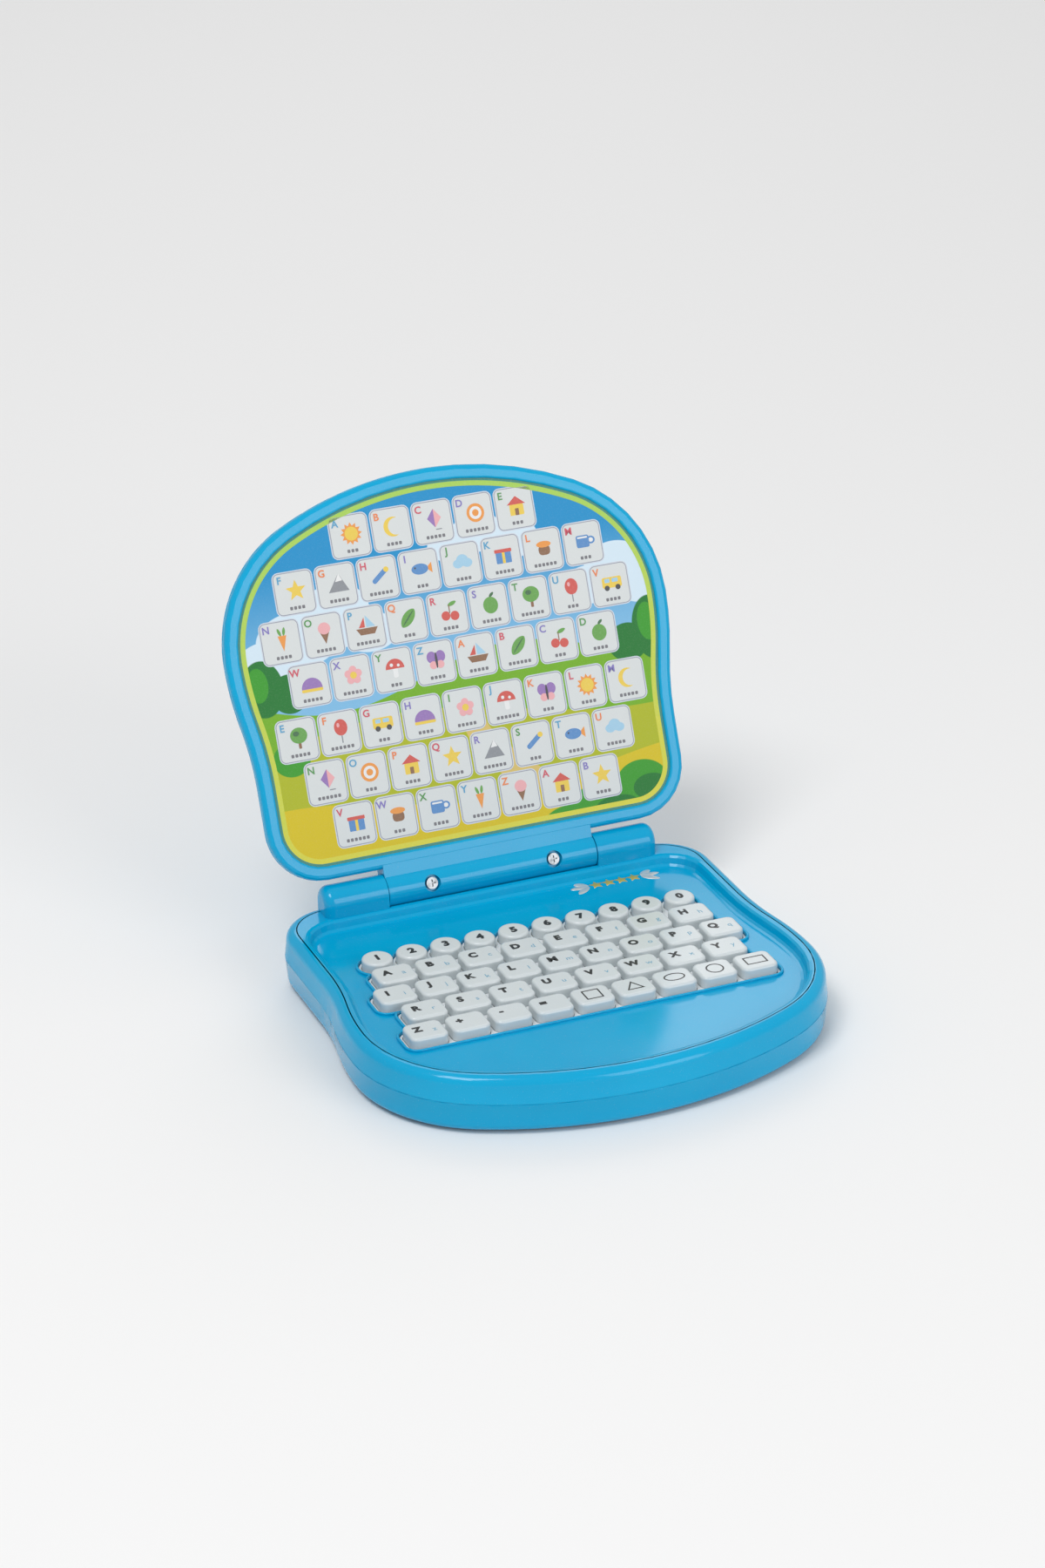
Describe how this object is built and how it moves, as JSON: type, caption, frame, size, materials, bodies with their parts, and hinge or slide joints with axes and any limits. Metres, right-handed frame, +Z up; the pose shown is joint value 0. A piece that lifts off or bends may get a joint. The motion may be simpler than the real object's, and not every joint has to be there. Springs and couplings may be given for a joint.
{
  "type": "toy laptop computer",
  "caption": "Open clam-shell toy laptop with a printed picture card in the lid, a staggered keyboard of round and rounded-square keys that press, and a hinged lid that shuts.",
  "frame": {"origin": "on the table under the middle of the open laptop's bounding box", "axes": "+X to the user's right, +Y away from the user towards the hinge, +Z up from the table; the laptop stands open on its feet"},
  "size_m": [0.218, 0.2614, 0.2028],
  "materials": {
    "shell_blue": "glossy light-blue moulded plastic",
    "plate_white": "glossy greyish white moulded plastic",
    "key_white": "glossy white moulded plastic with printed legends",
    "mat_rubber": "matte silicone rubber",
    "board_green": "lacquered fibre board",
    "speaker_black": "black cone and frame",
    "battery_sleeve": "printed sleeve over steel cans",
    "contact_steel": "nickel-plated spring steel",
    "switch_black": "matte black moulded plastic",
    "screw_steel": "zinc-plated steel",
    "wire_red": "red insulated lead",
    "card_print": "printed and laminated card"
  },
  "bodies": {
    "base": {"base_bottom": "shell_blue", "base_top": "shell_blue", "key_plate": "plate_white", "rubber_mat": "mat_rubber", "circuit_board": "board_green", "speaker": "speaker_black", "batteries": "battery_sleeve", "battery_contacts": "contact_steel", "battery_door": "shell_blue", "case_screws": "screw_steel", "wires": "wire_red"},
    "lid": {"lid_frame": "shell_blue", "lid_back": "shell_blue", "picture_card": "card_print", "hinge_screws": "screw_steel"},
    "power_switch": {"power_switch": "switch_black"},
    "key_1": {"key_1": "key_white"},
    "key_2": {"key_2": "key_white"},
    "key_3": {"key_3": "key_white"},
    "key_4": {"key_4": "key_white"},
    "key_5": {"key_5": "key_white"},
    "key_6": {"key_6": "key_white"},
    "key_7": {"key_7": "key_white"},
    "key_8": {"key_8": "key_white"},
    "key_9": {"key_9": "key_white"},
    "key_0": {"key_0": "key_white"},
    "key_a": {"key_a": "key_white"},
    "key_b": {"key_b": "key_white"},
    "key_c": {"key_c": "key_white"},
    "key_d": {"key_d": "key_white"},
    "key_e": {"key_e": "key_white"},
    "key_f": {"key_f": "key_white"},
    "key_g": {"key_g": "key_white"},
    "key_h": {"key_h": "key_white"},
    "key_i": {"key_i": "key_white"},
    "key_j": {"key_j": "key_white"},
    "key_k": {"key_k": "key_white"},
    "key_l": {"key_l": "key_white"},
    "key_m": {"key_m": "key_white"},
    "key_n": {"key_n": "key_white"},
    "key_o": {"key_o": "key_white"},
    "key_p": {"key_p": "key_white"},
    "key_q": {"key_q": "key_white"},
    "key_r": {"key_r": "key_white"},
    "key_s": {"key_s": "key_white"},
    "key_t": {"key_t": "key_white"},
    "key_u": {"key_u": "key_white"},
    "key_v": {"key_v": "key_white"},
    "key_w": {"key_w": "key_white"},
    "key_x": {"key_x": "key_white"},
    "key_y": {"key_y": "key_white"},
    "key_z": {"key_z": "key_white"},
    "key_plus": {"key_plus": "key_white"},
    "key_minus": {"key_minus": "key_white"},
    "key_equals": {"key_equals": "key_white"},
    "key_square": {"key_square": "key_white"},
    "key_triangle": {"key_triangle": "key_white"},
    "key_ellipse": {"key_ellipse": "key_white"},
    "key_circle": {"key_circle": "key_white"},
    "key_rectangle": {"key_rectangle": "key_white"}
  },
  "joints": [
    {"name": "lid_hinge", "type": "hinge", "parent": "base", "child": "lid", "pos_m": [0, 0.05579, 0.032], "axis": [1, 0, 0], "range_deg": [0, 113]},
    {"name": "power_switch_slide", "type": "slide", "parent": "base", "child": "power_switch", "axis": [1, 0, 0], "range_m": [0, 0.003]},
    {"name": "key_1_press", "type": "slide", "parent": "base", "child": "key_1", "axis": [0, 0, -1], "range_m": [0, 0.0015], "stiffness_N_per_m": 300, "springref_m": -0.001},
    {"name": "key_2_press", "type": "slide", "parent": "base", "child": "key_2", "axis": [0, 0, -1], "range_m": [0, 0.0015], "stiffness_N_per_m": 300, "springref_m": -0.001},
    {"name": "key_3_press", "type": "slide", "parent": "base", "child": "key_3", "axis": [0, 0, -1], "range_m": [0, 0.0015], "stiffness_N_per_m": 300, "springref_m": -0.001},
    {"name": "key_4_press", "type": "slide", "parent": "base", "child": "key_4", "axis": [0, 0, -1], "range_m": [0, 0.0015], "stiffness_N_per_m": 300, "springref_m": -0.001},
    {"name": "key_5_press", "type": "slide", "parent": "base", "child": "key_5", "axis": [0, 0, -1], "range_m": [0, 0.0015], "stiffness_N_per_m": 300, "springref_m": -0.001},
    {"name": "key_6_press", "type": "slide", "parent": "base", "child": "key_6", "axis": [0, 0, -1], "range_m": [0, 0.0015], "stiffness_N_per_m": 300, "springref_m": -0.001},
    {"name": "key_7_press", "type": "slide", "parent": "base", "child": "key_7", "axis": [0, 0, -1], "range_m": [0, 0.0015], "stiffness_N_per_m": 300, "springref_m": -0.001},
    {"name": "key_8_press", "type": "slide", "parent": "base", "child": "key_8", "axis": [0, 0, -1], "range_m": [0, 0.0015], "stiffness_N_per_m": 300, "springref_m": -0.001},
    {"name": "key_9_press", "type": "slide", "parent": "base", "child": "key_9", "axis": [0, 0, -1], "range_m": [0, 0.0015], "stiffness_N_per_m": 300, "springref_m": -0.001},
    {"name": "key_0_press", "type": "slide", "parent": "base", "child": "key_0", "axis": [0, 0, -1], "range_m": [0, 0.0015], "stiffness_N_per_m": 300, "springref_m": -0.001},
    {"name": "key_a_press", "type": "slide", "parent": "base", "child": "key_a", "axis": [0, 0, -1], "range_m": [0, 0.0015], "stiffness_N_per_m": 300, "springref_m": -0.001},
    {"name": "key_b_press", "type": "slide", "parent": "base", "child": "key_b", "axis": [0, 0, -1], "range_m": [0, 0.0015], "stiffness_N_per_m": 300, "springref_m": -0.001},
    {"name": "key_c_press", "type": "slide", "parent": "base", "child": "key_c", "axis": [0, 0, -1], "range_m": [0, 0.0015], "stiffness_N_per_m": 300, "springref_m": -0.001},
    {"name": "key_d_press", "type": "slide", "parent": "base", "child": "key_d", "axis": [0, 0, -1], "range_m": [0, 0.0015], "stiffness_N_per_m": 300, "springref_m": -0.001},
    {"name": "key_e_press", "type": "slide", "parent": "base", "child": "key_e", "axis": [0, 0, -1], "range_m": [0, 0.0015], "stiffness_N_per_m": 300, "springref_m": -0.001},
    {"name": "key_f_press", "type": "slide", "parent": "base", "child": "key_f", "axis": [0, 0, -1], "range_m": [0, 0.0015], "stiffness_N_per_m": 300, "springref_m": -0.001},
    {"name": "key_g_press", "type": "slide", "parent": "base", "child": "key_g", "axis": [0, 0, -1], "range_m": [0, 0.0015], "stiffness_N_per_m": 300, "springref_m": -0.001},
    {"name": "key_h_press", "type": "slide", "parent": "base", "child": "key_h", "axis": [0, 0, -1], "range_m": [0, 0.0015], "stiffness_N_per_m": 300, "springref_m": -0.001},
    {"name": "key_i_press", "type": "slide", "parent": "base", "child": "key_i", "axis": [0, 0, -1], "range_m": [0, 0.0015], "stiffness_N_per_m": 300, "springref_m": -0.001},
    {"name": "key_j_press", "type": "slide", "parent": "base", "child": "key_j", "axis": [0, 0, -1], "range_m": [0, 0.0015], "stiffness_N_per_m": 300, "springref_m": -0.001},
    {"name": "key_k_press", "type": "slide", "parent": "base", "child": "key_k", "axis": [0, 0, -1], "range_m": [0, 0.0015], "stiffness_N_per_m": 300, "springref_m": -0.001},
    {"name": "key_l_press", "type": "slide", "parent": "base", "child": "key_l", "axis": [0, 0, -1], "range_m": [0, 0.0015], "stiffness_N_per_m": 300, "springref_m": -0.001},
    {"name": "key_m_press", "type": "slide", "parent": "base", "child": "key_m", "axis": [0, 0, -1], "range_m": [0, 0.0015], "stiffness_N_per_m": 300, "springref_m": -0.001},
    {"name": "key_n_press", "type": "slide", "parent": "base", "child": "key_n", "axis": [0, 0, -1], "range_m": [0, 0.0015], "stiffness_N_per_m": 300, "springref_m": -0.001},
    {"name": "key_o_press", "type": "slide", "parent": "base", "child": "key_o", "axis": [0, 0, -1], "range_m": [0, 0.0015], "stiffness_N_per_m": 300, "springref_m": -0.001},
    {"name": "key_p_press", "type": "slide", "parent": "base", "child": "key_p", "axis": [0, 0, -1], "range_m": [0, 0.0015], "stiffness_N_per_m": 300, "springref_m": -0.001},
    {"name": "key_q_press", "type": "slide", "parent": "base", "child": "key_q", "axis": [0, 0, -1], "range_m": [0, 0.0015], "stiffness_N_per_m": 300, "springref_m": -0.001},
    {"name": "key_r_press", "type": "slide", "parent": "base", "child": "key_r", "axis": [0, 0, -1], "range_m": [0, 0.0015], "stiffness_N_per_m": 300, "springref_m": -0.001},
    {"name": "key_s_press", "type": "slide", "parent": "base", "child": "key_s", "axis": [0, 0, -1], "range_m": [0, 0.0015], "stiffness_N_per_m": 300, "springref_m": -0.001},
    {"name": "key_t_press", "type": "slide", "parent": "base", "child": "key_t", "axis": [0, 0, -1], "range_m": [0, 0.0015], "stiffness_N_per_m": 300, "springref_m": -0.001},
    {"name": "key_u_press", "type": "slide", "parent": "base", "child": "key_u", "axis": [0, 0, -1], "range_m": [0, 0.0015], "stiffness_N_per_m": 300, "springref_m": -0.001},
    {"name": "key_v_press", "type": "slide", "parent": "base", "child": "key_v", "axis": [0, 0, -1], "range_m": [0, 0.0015], "stiffness_N_per_m": 300, "springref_m": -0.001},
    {"name": "key_w_press", "type": "slide", "parent": "base", "child": "key_w", "axis": [0, 0, -1], "range_m": [0, 0.0015], "stiffness_N_per_m": 300, "springref_m": -0.001},
    {"name": "key_x_press", "type": "slide", "parent": "base", "child": "key_x", "axis": [0, 0, -1], "range_m": [0, 0.0015], "stiffness_N_per_m": 300, "springref_m": -0.001},
    {"name": "key_y_press", "type": "slide", "parent": "base", "child": "key_y", "axis": [0, 0, -1], "range_m": [0, 0.0015], "stiffness_N_per_m": 300, "springref_m": -0.001},
    {"name": "key_z_press", "type": "slide", "parent": "base", "child": "key_z", "axis": [0, 0, -1], "range_m": [0, 0.0015], "stiffness_N_per_m": 300, "springref_m": -0.001},
    {"name": "key_plus_press", "type": "slide", "parent": "base", "child": "key_plus", "axis": [0, 0, -1], "range_m": [0, 0.0015], "stiffness_N_per_m": 300, "springref_m": -0.001},
    {"name": "key_minus_press", "type": "slide", "parent": "base", "child": "key_minus", "axis": [0, 0, -1], "range_m": [0, 0.0015], "stiffness_N_per_m": 300, "springref_m": -0.001},
    {"name": "key_equals_press", "type": "slide", "parent": "base", "child": "key_equals", "axis": [0, 0, -1], "range_m": [0, 0.0015], "stiffness_N_per_m": 300, "springref_m": -0.001},
    {"name": "key_square_press", "type": "slide", "parent": "base", "child": "key_square", "axis": [0, 0, -1], "range_m": [0, 0.0015], "stiffness_N_per_m": 300, "springref_m": -0.001},
    {"name": "key_triangle_press", "type": "slide", "parent": "base", "child": "key_triangle", "axis": [0, 0, -1], "range_m": [0, 0.0015], "stiffness_N_per_m": 300, "springref_m": -0.001},
    {"name": "key_ellipse_press", "type": "slide", "parent": "base", "child": "key_ellipse", "axis": [0, 0, -1], "range_m": [0, 0.0015], "stiffness_N_per_m": 300, "springref_m": -0.001},
    {"name": "key_circle_press", "type": "slide", "parent": "base", "child": "key_circle", "axis": [0, 0, -1], "range_m": [0, 0.0015], "stiffness_N_per_m": 300, "springref_m": -0.001},
    {"name": "key_rectangle_press", "type": "slide", "parent": "base", "child": "key_rectangle", "axis": [0, 0, -1], "range_m": [0, 0.0015], "stiffness_N_per_m": 300, "springref_m": -0.001}
  ]
}
